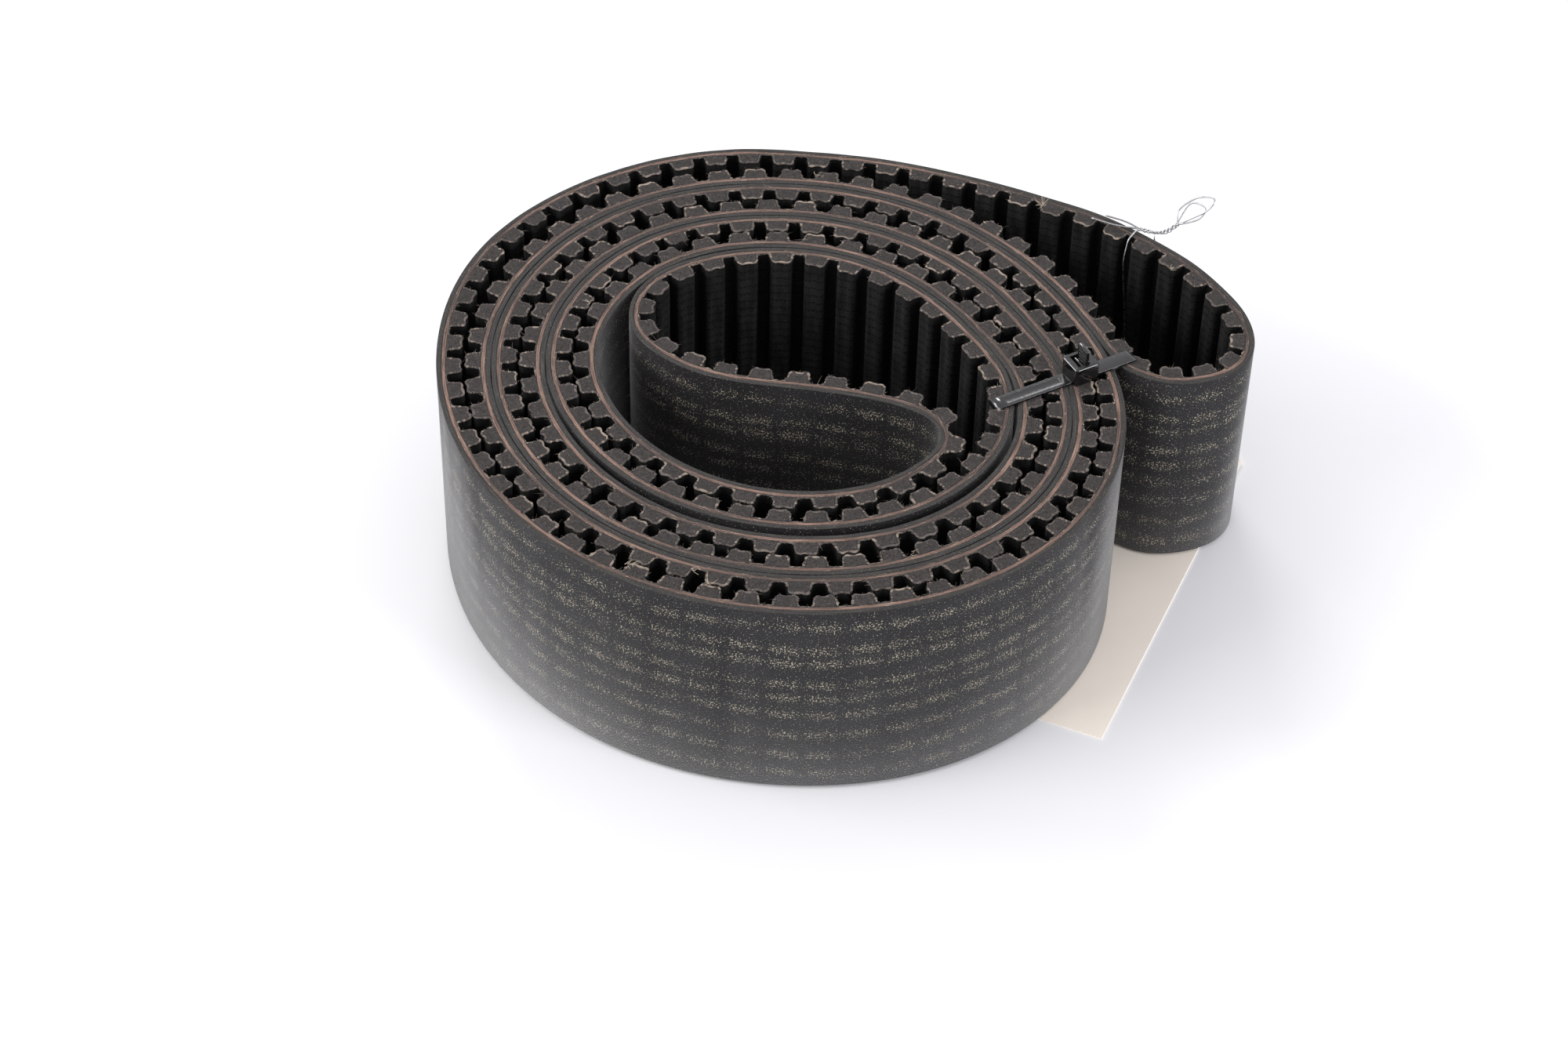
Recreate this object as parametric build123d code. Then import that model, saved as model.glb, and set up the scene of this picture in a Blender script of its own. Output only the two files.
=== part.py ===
from build123d import *
from math import cos, radians, sin
import os

# A toothed drive belt, folded double and wound into a coil, held by a cable tie,
# with a card tag wired to it. Millimetres, +Z up, the coil stands on its cut edge.

OUTLINE_MIDDLE = (14.6, -3.7)   # middle of the whole outline seen from above: the part's origin

# Belt section, measured from the cord line: positive towards the teeth
PITCH = 8.0
TEETH = 300
WIDTH = 50.0
BACK = -1.53            # outer face of the backing rubber
CORD_RADIUS = 0.45      # half the thickness of the cord layer
LAND = 0.686            # fabric surface between two teeth
TOOTH_HEIGHT = 3.24     # above the land
FACING = 0.45           # fabric thickness on the teeth
BASE_HALF = 2.5         # half the tooth's width above its root radius
SHOULDER_HALF = 2.15    # half the tooth's width below its corners
CREST_HALF = 1.1        # half the width of the crest
ROOT_RADIUS = 0.6
CREST_DISH = 0.15       # depth of the shallow hollow along the crest
CORE_FOOT_HALF = 2.35   # half the width of the rubber core where it meets the cords

# How the coil lies, seen from above. The belt is doubled, teeth inwards, and wound
# three times: radii of the line where the backs of two neighbouring turns meet.
COIL_CENTRE = (-2.0, -4.0)
CLOCK = (15, 30, 60, 90, 120, 150, 180, 210, 240, 270, 300, 330, 360)
TURN_1 = (75.8, 76.9, 76.3, 73.0, 72.0, 73.0, 75.1, 78.1, 77.9, 72.0)
TURN_2 = (67.8, 65.3, 63.5, 63.0, 63.8, 62.7, 61.2, 60.4, 61.4, 63.7, 66.7, 66.4, 60.4)
TURN_3_OUTER = (56.0, 53.7, 51.8, 51.5, 52.2, 51.0, 49.6, 48.8, 49.9, 52.2, 55.0, 54.5, 48.6)
TURN_3_INNER = (56.0, 53.7, 51.8, 51.5, 52.2, 51.0, 49.6, 48.0, 48.3, 50.4, 53.1, 53.3, 48.4)
TURN_4_OUTER = (44.2, 41.9, 40.4, 40.1, 40.7, 39.6, 38.1, 36.5, 36.7, 38.7)
TURN_4_INNER = (44.2, 41.9, 40.4, 40.1, 40.6)
BACK_GAP = 0.3          # air between two backs that lie side by side

# Cord line through the eye of the coil, where the doubled belt's inner end folds over
EYE = ((-29.5, 23.5), (-33.1, 14.0), (-31.7, 6.1), (-25.7, -1.1), (-15.2, -6.8), (-2.0, -9.3),
       (12.5, -11.4), (24.2, -14.7), (31.1, -19.0), (33.5, -26.3), (30.0, -33.3), (20.3, -41.0))
# Cord line round the free loop at the coil's right side, where the outer end folds over
LOOP = ((71.6, 1.0), (75.0, -3.0), (80.2, -5.1), (86.3, -4.9), (92.8, -2.6), (97.6, 2.3),
        (99.0, 9.9), (97.5, 17.4), (93.0, 26.0), (88.2, 32.7), (78.4, 42.0), (68.6, 49.3),
        (58.8, 54.2), (49.0, 58.6), (36.9, 63.1), (17.9, 68.2))
LOOP_ENTRY = (8, 71.6)  # angle and radius where the inner strand leaves the coil

# Heights
CARD_THICKNESS = 0.33
BELT_FLOOR = 1.0        # the belt's lower edge: the tag and its wire lie under it
BELT_TOP = BELT_FLOOR + WIDTH

# Cable tie: a 3.6 mm strap in one upright plane across the coil's right wall
TIE_START = (44.1, -15.2)   # where the strap turns down into the eye
TIE_END = (74.0, 1.95)      # where it turns down into the free loop
STRAP_WIDTH = 3.6
STRAP_THICKNESS = 1.0
STRAP_FLOOR = 0.42          # underside of the lower run
STRAP_BITE = 0.46           # how far the tight strap is pressed into the belt's edges
STRAP_CLEARANCE = 0.02
FABRIC_GRIP = 0.4           # how far the strap's edges squeeze the tooth fabric at each side
STRAP_BEND = 1.3            # centre-line radius of its corners
HEAD_LENGTH = 6.0
HEAD_WIDTH = 5.8
HEAD_HEIGHT = 4.4
HEAD_AT = 20.9              # head's centre along the upper run
HEAD_SLOT = (2.9, 3.8)
TAIL_RISE = 7.4             # cut end of the strap above the belt's top edge
RIB_PITCH = 0.75
RIB_DEPTH = 0.28

# Tag and its wire
TAG_LENGTH = 108.0
TAG_WIDTH = 54.0
TAG_CORNER = (68.0, -63.0)  # the square corner nearest the front
TAG_ANGLE = 67.5            # direction of the long edge
TAG_CLIP = 13.0             # cut corners at the eyelet end
EYELET_INSET = 11.0
EYELET_HOLE = 2.5           # radius
CARD_LIFT = 0.53            # the wire passes under the eyelet end and lifts it
LIFT_FROM = 76.0            # where the card starts to rise, along its length
LIFT_TO = 88.0
PATCH_RADIUS = 7.5
PATCH_THICKNESS = 0.1
WIRE_RADIUS = 0.2


def polar(angle, radius):
    x, y = COIL_CENTRE
    return (x + radius * cos(radians(angle)), y + radius * sin(radians(angle)))


def turn(radii, offset, angles=CLOCK):
    """Cord-line points of one turn, given the radii of its back line."""
    return [polar(angle, radius + offset) for angle, radius in zip(angles, radii)]


def belt_route():
    """The closed cord line: outer strand inwards, through the eye, inner strand outwards."""
    inwards = turn(TURN_1, BACK, CLOCK[3:])
    inwards += turn(TURN_2, BACK)
    inwards += turn(TURN_3_INNER, BACK)
    inwards += turn(TURN_4_INNER, BACK, CLOCK[:5])
    outwards = turn(TURN_2, BACK_GAP - BACK)
    outwards += turn(TURN_3_OUTER, BACK_GAP - BACK)
    outwards += turn(TURN_4_OUTER, BACK_GAP - BACK, CLOCK[:10])
    points = inwards + list(EYE) + outwards[::-1] + [polar(*LOOP_ENTRY)] + list(LOOP)
    free = Spline(*points, periodic=True)
    return free.scale(PITCH * TEETH / free.length)


ROUTE = belt_route()


class Station:
    """A place on the cord line, with its direction of travel and the way the teeth point."""

    def __init__(self, distance):
        place = ROUTE.location_at(distance % (PITCH * TEETH), PositionMode.LENGTH)
        self.point = place.position
        self.along = ROUTE.tangent_at(distance % (PITCH * TEETH), PositionMode.LENGTH)
        self.toothward = Vector(-self.along.Y, self.along.X, 0)

    def at(self, height, ahead=0.0):
        return self.point + self.toothward * height + self.along * ahead


HALF_LAND = PITCH / 2
FOOT_HALF = BASE_HALF + ROOT_RADIUS
CENTRES = [Station(k * PITCH) for k in range(TEETH)]
GAPS = [Station((k + 0.5) * PITCH) for k in range(TEETH)]
FEET = [(Station(k * PITCH - FOOT_HALF), Station(k * PITCH + FOOT_HALF)) for k in range(TEETH)]
CORE_FEET = [
    (Station(k * PITCH - CORE_FOOT_HALF), Station(k * PITCH + CORE_FOOT_HALF)) for k in range(TEETH)
]


def smooth_line(height):
    """The closed line at one height over the cords, one arc for each pitch."""
    edges = []
    for k in range(TEETH):
        ahead = CENTRES[(k + 1) % TEETH]
        edges.append(ThreePointArc(CENTRES[k].at(height), GAPS[k].at(height), ahead.at(height)))
    return edges


def base_arc(k):
    """The cord layer's tooth-side line under one tooth core."""
    first, last = CORE_FEET[k]
    return ThreePointArc(first.at(CORD_RADIUS), CENTRES[k].at(CORD_RADIUS), last.at(CORD_RADIUS))


def cord_land_arc(k):
    """The cord layer's tooth-side line from one core to the next."""
    start = CORE_FEET[k][1].at(CORD_RADIUS)
    end = CORE_FEET[(k + 1) % TEETH][0].at(CORD_RADIUS)
    return ThreePointArc(start, GAPS[k].at(CORD_RADIUS), end)


def tooth_line(centre, start, end, base, shoulder, crest, base_height, corner_height, top, dish):
    """One tooth's outline: foot, flank, rounded corner, dished crest, and back down."""

    def half(side, first):
        foot = centre.at(base_height, side * base)
        below = centre.at(corner_height, side * shoulder)
        corner = centre.at((corner_height + 2.2 * top) / 3.2, side * (2.2 * shoulder + crest) / 3.2)
        edge = centre.at(top, side * crest)
        bend = centre.at(base_height - 0.7 * (base_height - LAND), side * (base + 0.18))
        root = ThreePointArc(first, bend, foot) if base_height > 1.2 else Line(first, foot)
        return [root, Line(foot, below), ThreePointArc(below, corner, edge)], edge

    rising, left = half(-1, start)
    falling, right = half(1, end)
    crest_arc = ThreePointArc(left, centre.at(top - dish), right)
    return rising + [crest_arc] + falling[::-1]


def facing_tooth(k):
    first, last = FEET[k]
    top = LAND + TOOTH_HEIGHT
    return tooth_line(CENTRES[k], first.at(LAND), last.at(LAND), BASE_HALF, SHOULDER_HALF, CREST_HALF,
                      LAND + ROOT_RADIUS, top - 1.05, top, CREST_DISH)


def core_tooth(k):
    first, last = CORE_FEET[k]
    top = LAND + TOOTH_HEIGHT - FACING
    return tooth_line(CENTRES[k], first.at(CORD_RADIUS), last.at(CORD_RADIUS), BASE_HALF - FACING,
                      SHOULDER_HALF - FACING, CREST_HALF, LAND + 0.45, top - 0.6, top, CREST_DISH)


def facing_land_arc(k):
    start = FEET[k][1].at(LAND)
    end = FEET[(k + 1) % TEETH][0].at(LAND)
    return ThreePointArc(start, GAPS[k].at(LAND), end)


def toothed_line(tooth, land):
    edges = []
    for k in range(TEETH):
        edges += tooth(k)
        edges.append(land(k))
    return edges


def belt_ring(outer_edges, inner_edges):
    """A closed band of the belt's full width between two lines seen from above."""
    face = Face(Wire(outer_edges), [Wire(inner_edges)])
    return extrude(face.moved(Location((0, 0, BELT_FLOOR))), WIDTH, dir=(0, 0, 1))


def cord_inner_line():
    edges = []
    for k in range(TEETH):
        edges += [base_arc(k), cord_land_arc(k)]
    return edges


def belt_backing():
    return belt_ring(smooth_line(BACK), smooth_line(-CORD_RADIUS)) - tie_dent()


def tensile_cord_layer():
    return belt_ring(smooth_line(-CORD_RADIUS), cord_inner_line()) - tie_dent()


def tooth_facing():
    inner = toothed_line(core_tooth, cord_land_arc)
    outer = toothed_line(facing_tooth, facing_land_arc)
    return belt_ring(inner, outer) - tie_dent(FABRIC_GRIP)


def tooth_cores():
    """The 300 rubber cores, one inside each fabric-covered tooth."""
    dent = tie_dent()
    reach = dent.bounding_box()
    cores = []
    for k in range(TEETH):
        face = Face(Wire(core_tooth(k) + [base_arc(k)]))
        core = extrude(face.moved(Location((0, 0, BELT_FLOOR))), WIDTH, dir=(0, 0, 1))
        middle = CENTRES[k].at(2.0)
        near_tie = reach.min.X - 5 < middle.X < reach.max.X + 5
        near_tie = near_tie and reach.min.Y - 5 < middle.Y < reach.max.Y + 5
        cores.append(core - dent if near_tie else core)
    return cores


# ---------------------------------------------------------------- cable tie
TIE_RUN = Vector(*TIE_END) - Vector(*TIE_START)
TIE_PLANE = Plane(origin=(TIE_START[0], TIE_START[1], 0), x_dir=TIE_RUN, z_dir=TIE_RUN.cross(Vector(0, 0, 1)))
STRAP_LOW = STRAP_FLOOR + STRAP_THICKNESS / 2
STRAP_HIGH = BELT_TOP - STRAP_BITE + STRAP_THICKNESS / 2
SLOT_AT = HEAD_AT + 0.55    # the tail rises here, on the far side of the slot from the pawl


def strap_line():
    """Centre line of the strap in its own plane: neck, round the coil, up through the head."""
    far = TIE_RUN.length
    corners = [
        (HEAD_AT - HEAD_LENGTH / 2, STRAP_HIGH),
        (0, STRAP_HIGH),
        (0, STRAP_LOW),
        (far, STRAP_LOW),
        (far, STRAP_HIGH),
        (SLOT_AT, STRAP_HIGH),
        (SLOT_AT, BELT_TOP + TAIL_RISE),
    ]
    return FilletPolyline(*corners, radius=STRAP_BEND)


def upright(sketch, width):
    """Extrudes a sketch drawn in the tie's plane equally to both sides."""
    return extrude(TIE_PLANE * sketch, width / 2, both=True)


def strap_band(width, thickness):
    return upright(trace(strap_line(), thickness), width)


def tie_dent(grip=0.0):
    """The groove that the tight strap presses into the belt's edges and teeth."""
    return strap_band(STRAP_WIDTH + 2 * STRAP_CLEARANCE - 2 * grip, STRAP_THICKNESS + 2 * STRAP_CLEARANCE)


def cable_tie_strap():
    strap = strap_band(STRAP_WIDTH, STRAP_THICKNESS)
    ribbed = STRAP_WIDTH - 0.9
    face = SLOT_AT - STRAP_THICKNESS / 2
    height = BELT_TOP + 1.6
    while height < BELT_TOP + TAIL_RISE - 0.3:
        notch = Polyline((face - 0.1, height), (face + RIB_DEPTH, height), (face - 0.1, height + RIB_PITCH * 0.8),
                         close=True)
        strap -= upright(make_face(notch), ribbed)
        height += RIB_PITCH
    recess_length = HEAD_AT - HEAD_LENGTH / 2 - 4.2
    recess = Pos(recess_length / 2 + 2.2, STRAP_HIGH + STRAP_THICKNESS / 2) * Rectangle(recess_length, 0.3)
    strap -= upright(recess, STRAP_WIDTH - 1.2)
    return strap


def cable_tie_head():
    floor = BELT_TOP + 0.02
    block = TIE_PLANE * Pos(HEAD_AT, floor + HEAD_HEIGHT / 2) * Box(HEAD_LENGTH, HEAD_HEIGHT, HEAD_WIDTH)
    block = fillet(block.edges().filter_by(Axis.Z), 0.7)
    block = chamfer(block.faces().sort_by(Axis.Z)[-1].outer_wire().edges(), 0.25)
    slot = Pos(SLOT_AT + 0.57 - HEAD_SLOT[0] / 2, floor + HEAD_HEIGHT / 2)
    slot *= Box(HEAD_SLOT[0], HEAD_HEIGHT * 2, HEAD_SLOT[1])
    tunnel = Pos(SLOT_AT + 5, STRAP_HIGH) * Box(10, STRAP_THICKNESS + 0.1, STRAP_WIDTH + 0.2)
    bend = strap_band(STRAP_WIDTH + 0.2, STRAP_THICKNESS + 0.1)
    return block - TIE_PLANE * slot - TIE_PLANE * tunnel - bend


PAWL_ROOT = SLOT_AT + 0.57 - HEAD_SLOT[0] + 0.08
PAWL_LOW = BELT_TOP + 1.2


def cable_tie_pawl():
    """The springy tongue inside the head, with three teeth against the strap's ribs."""
    face = SLOT_AT - STRAP_THICKNESS / 2 - 0.06
    outline = [(PAWL_ROOT, PAWL_LOW), (PAWL_ROOT + 0.9, PAWL_LOW + 0.05), (face - 0.2, PAWL_LOW + 0.45)]
    for tooth in range(3):
        base = PAWL_LOW + 0.6 + tooth * RIB_PITCH
        outline += [(face, base), (face - 0.22, base + RIB_PITCH * 0.75)]
    outline += [(face - 0.4, PAWL_LOW + 2.9), (PAWL_ROOT + 0.8, PAWL_LOW + 2.8), (PAWL_ROOT, PAWL_LOW + 0.5)]
    return upright(make_face(Polyline(*outline, close=True)), HEAD_SLOT[1] - 0.7)


# ---------------------------------------------------------------- tag
TAG_PLACE = Pos(TAG_CORNER[0], TAG_CORNER[1]) * Rot(0, 0, TAG_ANGLE)
EYELET = (TAG_LENGTH - EYELET_INSET, TAG_WIDTH / 2)


def tag_card():
    """A flat card with two cut corners; its eyelet end is lifted by the wire underneath."""
    edge = Polyline((0, 0), (LIFT_FROM, 0), (LIFT_TO, CARD_LIFT), (TAG_LENGTH, CARD_LIFT),
                    (TAG_LENGTH, CARD_LIFT + CARD_THICKNESS), (LIFT_TO, CARD_LIFT + CARD_THICKNESS),
                    (LIFT_FROM, CARD_THICKNESS), (0, CARD_THICKNESS), close=True)
    sheet = extrude(Plane.XZ * make_face(edge), -TAG_WIDTH)
    outline = Polyline((0, 0), (TAG_LENGTH - TAG_CLIP, 0), (TAG_LENGTH, TAG_CLIP),
                       (TAG_LENGTH, TAG_WIDTH - TAG_CLIP), (TAG_LENGTH - TAG_CLIP, TAG_WIDTH), (0, TAG_WIDTH),
                       close=True)
    plan = make_face(outline) - Pos(*EYELET) * Circle(EYELET_HOLE)
    return TAG_PLACE * (sheet & Pos(0, 0, -1) * extrude(plan, 4))


def tag_patch(floor):
    """A round reinforcement glued over the eyelet hole."""
    ring = Pos(*EYELET) * (Circle(PATCH_RADIUS) - Circle(EYELET_HOLE))
    return TAG_PLACE * Pos(0, 0, floor) * extrude(ring, PATCH_THICKNESS)


def tag_patch_upper():
    return tag_patch(CARD_LIFT + CARD_THICKNESS)


def tag_patch_lower():
    return tag_patch(CARD_LIFT - PATCH_THICKNESS)


# The wire: a closed bight through the eyelet and over the belt's upper edge, twisted above it
WIRE_LEG = ((78.4, 44.3, BELT_TOP + 0.9), (76.9, 44.2, BELT_TOP + 0.8), (75.2, 42.6, BELT_TOP - 0.3),
            (74.2, 40.5, BELT_TOP - 5.0), (76.4, 38.2, 24.0), (79.0, 35.7, 4.0), (79.2, 35.5, 0.22),
            (84.9, 49.4, 0.22), (84.9, 49.4, 2.2), (84.2, 48.0, 10.0), (82.6, 46.0, 32.0),
            (81.0, 43.5, BELT_TOP + 0.9))
WIRE_TWIST = ((77.6, 44.7, BELT_TOP + 0.9), (80.6, 43.6, BELT_TOP + 0.9), (83.4, 42.9, BELT_TOP + 1.7),
              (86.2, 43.5, BELT_TOP + 3.6))
WIRE_ENDS = (((78.3, 44.5, BELT_TOP + 1.0), (72.5, 46.2, BELT_TOP + 0.6), (67.1, 48.2, BELT_TOP + 0.9)),
             ((78.2, 44.4, BELT_TOP + 0.8), (74.6, 46.3, BELT_TOP + 1.6), (70.1, 47.6, BELT_TOP + 2.2)))
WIRE_LOOPS = (((85.7, 43.3, BELT_TOP + 3.3), (86.2, 45.9, BELT_TOP + 5.6), (90.0, 46.6, BELT_TOP + 8.5),
               (93.4, 44.4, BELT_TOP + 10.0), (91.9, 42.8, BELT_TOP + 7.9), (85.8, 43.5, BELT_TOP + 3.3)),
              ((85.4, 43.3, BELT_TOP + 3.0), (88.6, 46.4, BELT_TOP + 7.0), (91.6, 43.9, BELT_TOP + 7.7),
               (90.2, 42.6, BELT_TOP + 5.6), (85.4, 43.4, BELT_TOP + 3.2)))


def largest_bends(points):
    """A radius for each corner: 0.45 of the shorter run over the tangent of half the turn."""
    radii = []
    for before, corner, after in zip(points, points[1:], points[2:]):
        arriving = Vector(*corner) - Vector(*before)
        leaving = Vector(*after) - Vector(*corner)
        half_turn = radians(arriving.get_angle(leaving)) / 2
        radii.append(0.45 * min(arriving.length, leaving.length) * cos(half_turn) / sin(half_turn))
    return radii


def wire_run(points, radius):
    path = FilletPolyline(*points, radius=largest_bends(points))
    section = Plane(origin=path @ 0, z_dir=path % 0) * Circle(radius)
    return sweep(section, path=path)


def tag_wire():
    wire = wire_run(WIRE_TWIST, 2 * WIRE_RADIUS)
    for points in (WIRE_LEG, *WIRE_ENDS, *WIRE_LOOPS):
        wire += wire_run(points, WIRE_RADIUS)
    return wire


PARTS = {
    "belt_backing": belt_backing,
    "tensile_cord_layer": tensile_cord_layer,
    "tooth_cores": tooth_cores,
    "tooth_facing": tooth_facing,
    "cable_tie_strap": cable_tie_strap,
    "cable_tie_head": cable_tie_head,
    "cable_tie_pawl": cable_tie_pawl,
    "tag_card": tag_card,
    "tag_patch_upper": tag_patch_upper,
    "tag_patch_lower": tag_patch_lower,
    "tag_wire": tag_wire,
}

if __name__ == "__main__":
    os.makedirs("parts", exist_ok=True)
    for name, make in PARTS.items():
        shape = make()
        if isinstance(shape, list):
            shape = Compound(children=shape)
        shape = shape.moved(Location((-OUTLINE_MIDDLE[0], -OUTLINE_MIDDLE[1], 0)))
        export_step(shape, f"parts/{name}.step")
        print(name, len(shape.solids()), round(shape.volume, 1))
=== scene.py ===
from math import cos, pi, radians, sin

import bpy
import numpy as np
from mathutils import Matrix, Vector


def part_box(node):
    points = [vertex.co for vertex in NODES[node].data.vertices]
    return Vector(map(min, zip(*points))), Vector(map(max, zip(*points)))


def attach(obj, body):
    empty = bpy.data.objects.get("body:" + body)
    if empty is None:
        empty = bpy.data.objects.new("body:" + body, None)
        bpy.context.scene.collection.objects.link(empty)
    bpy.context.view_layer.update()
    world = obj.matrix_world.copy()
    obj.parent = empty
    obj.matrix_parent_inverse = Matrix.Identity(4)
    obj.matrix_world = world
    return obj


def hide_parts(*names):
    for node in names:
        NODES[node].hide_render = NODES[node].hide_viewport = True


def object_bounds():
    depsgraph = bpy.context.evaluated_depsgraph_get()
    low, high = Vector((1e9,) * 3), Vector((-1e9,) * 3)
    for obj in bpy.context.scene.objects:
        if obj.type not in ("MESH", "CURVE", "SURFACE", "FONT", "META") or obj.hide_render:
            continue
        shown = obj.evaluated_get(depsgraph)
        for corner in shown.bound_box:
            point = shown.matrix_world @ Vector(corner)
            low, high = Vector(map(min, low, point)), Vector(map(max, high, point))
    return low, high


# A toothed belt, doubled and wound into a coil, with its cable tie and card tag.
# Metres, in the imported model's frame. The belt's layers are rebuilt from the
# packed teeth with worn, frayed cut edges and belt-aligned materials.

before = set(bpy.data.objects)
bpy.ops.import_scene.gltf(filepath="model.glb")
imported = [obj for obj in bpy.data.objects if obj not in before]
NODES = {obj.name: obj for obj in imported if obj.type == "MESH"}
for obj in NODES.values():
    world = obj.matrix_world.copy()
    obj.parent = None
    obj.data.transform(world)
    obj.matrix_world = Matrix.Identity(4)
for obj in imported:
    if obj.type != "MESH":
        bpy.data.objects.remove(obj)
CAD_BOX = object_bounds()
MM = 0.001

# Belt section, from the cord line, positive towards the teeth
BACK = -1.53 * MM
CORD_RADIUS = 0.45 * MM
LAND = 0.686 * MM
TOOTH_TOP = 3.926 * MM
FACING = 0.45 * MM
CORE_TOP = TOOTH_TOP - FACING
CREST_HALF = 1.15 * MM
CREST_DISH = 0.26 * MM
PITCH = 8 * MM
BELT_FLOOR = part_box("belt_backing")[0].z
BELT_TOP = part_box("belt_backing")[1].z


def linked(name, mesh):
    """One object that shows a mesh in the scene."""
    piece = bpy.data.objects.new(name, mesh)
    bpy.context.scene.collection.objects.link(piece)
    return piece


# ---------------------------------------------------------------- camera and stage
VIEW_DISTANCE = 0.7965
VIEW_ELEVATION = radians(43.105)
AIM_SIDE = -14.6 * MM
AIM_BACK = 3.7 * MM
AIM_BELOW_TOP = 49.6 * MM
VIEW_ROLL = radians(1.387)
FIELD_LENS = 81.8


def add_camera():
    centre = (CAD_BOX[0] + CAD_BOX[1]) / 2
    target = Vector((centre.x + AIM_SIDE, centre.y + AIM_BACK, BELT_TOP - AIM_BELOW_TOP))
    forward = Vector((0, cos(VIEW_ELEVATION), -sin(VIEW_ELEVATION)))
    level = Vector((1, 0, 0))
    upward = level.cross(forward)
    across = level * cos(VIEW_ROLL) + upward * sin(VIEW_ROLL)
    upward = upward * cos(VIEW_ROLL) - level * sin(VIEW_ROLL)
    data = bpy.data.cameras.new("camera")
    data.lens = FIELD_LENS
    data.sensor_width = 36
    data.clip_start = 0.01
    camera = bpy.data.objects.new("camera", data)
    turn = Matrix((across, upward, -forward)).transposed()
    camera.matrix_world = Matrix.Translation(target - forward * VIEW_DISTANCE) @ turn.to_4x4()
    bpy.context.scene.collection.objects.link(camera)
    bpy.context.scene.camera = camera


FLOOR_HALF = 3.0
WORLD_COLOUR = (0.97, 0.97, 1.0, 1)
WORLD_STRENGTH = 0.82
# Name, place, aim, size, power and colour of each light
LIGHTS = (
    ("left_box", (-1.2, -0.45, 0.78), (0, 0, 0.02), (0.9, 0.7), 12, (1.0, 0.99, 0.97)),
    ("left_strip", (-1.3, 0.25, 0.56), (0, 0, 0.04), (0.4, 0.4), 4, (1.0, 1.0, 1.0)),
    ("right_box", (1.15, -0.72, 0.68), (0, 0, 0.02), (0.6, 0.5), 9.5, (0.98, 0.98, 1.0)),
    ("back_strip", (-0.25, 1.1, 0.95), (0.02, 0, 0.04), (0.5, 0.25), 4.5, (1.0, 1.0, 1.0)),
)


def add_area_light(name, place, aim, size, power, colour):
    data = bpy.data.lights.new(name, "AREA")
    data.shape = "RECTANGLE"
    data.size, data.size_y = size
    data.energy = power
    data.color = colour
    light = bpy.data.objects.new(name, data)
    light.location = place
    light.rotation_euler = (Vector(aim) - Vector(place)).to_track_quat("-Z", "Y").to_euler()
    bpy.context.scene.collection.objects.link(light)


def add_stage():
    mesh = bpy.data.meshes.new("floor")
    corners = [(x * FLOOR_HALF, y * FLOOR_HALF, 0) for x, y in ((-1, -1), (1, -1), (1, 1), (-1, 1))]
    mesh.from_pydata(corners, [], [(0, 1, 2, 3)])
    linked("floor", mesh)
    material = Nodes("floor_paper")
    material.colour((0.85, 0.85, 0.87), roughness=0.75)
    mesh.materials.append(material.material)
    world = bpy.data.worlds.new("studio")
    world.use_nodes = True
    background = world.node_tree.nodes["Background"]
    background.inputs["Color"].default_value = WORLD_COLOUR
    background.inputs["Strength"].default_value = WORLD_STRENGTH
    bpy.context.scene.world = world
    for light in LIGHTS:
        add_area_light(*light)
    bpy.context.scene.view_settings.view_transform = "Standard"


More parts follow.
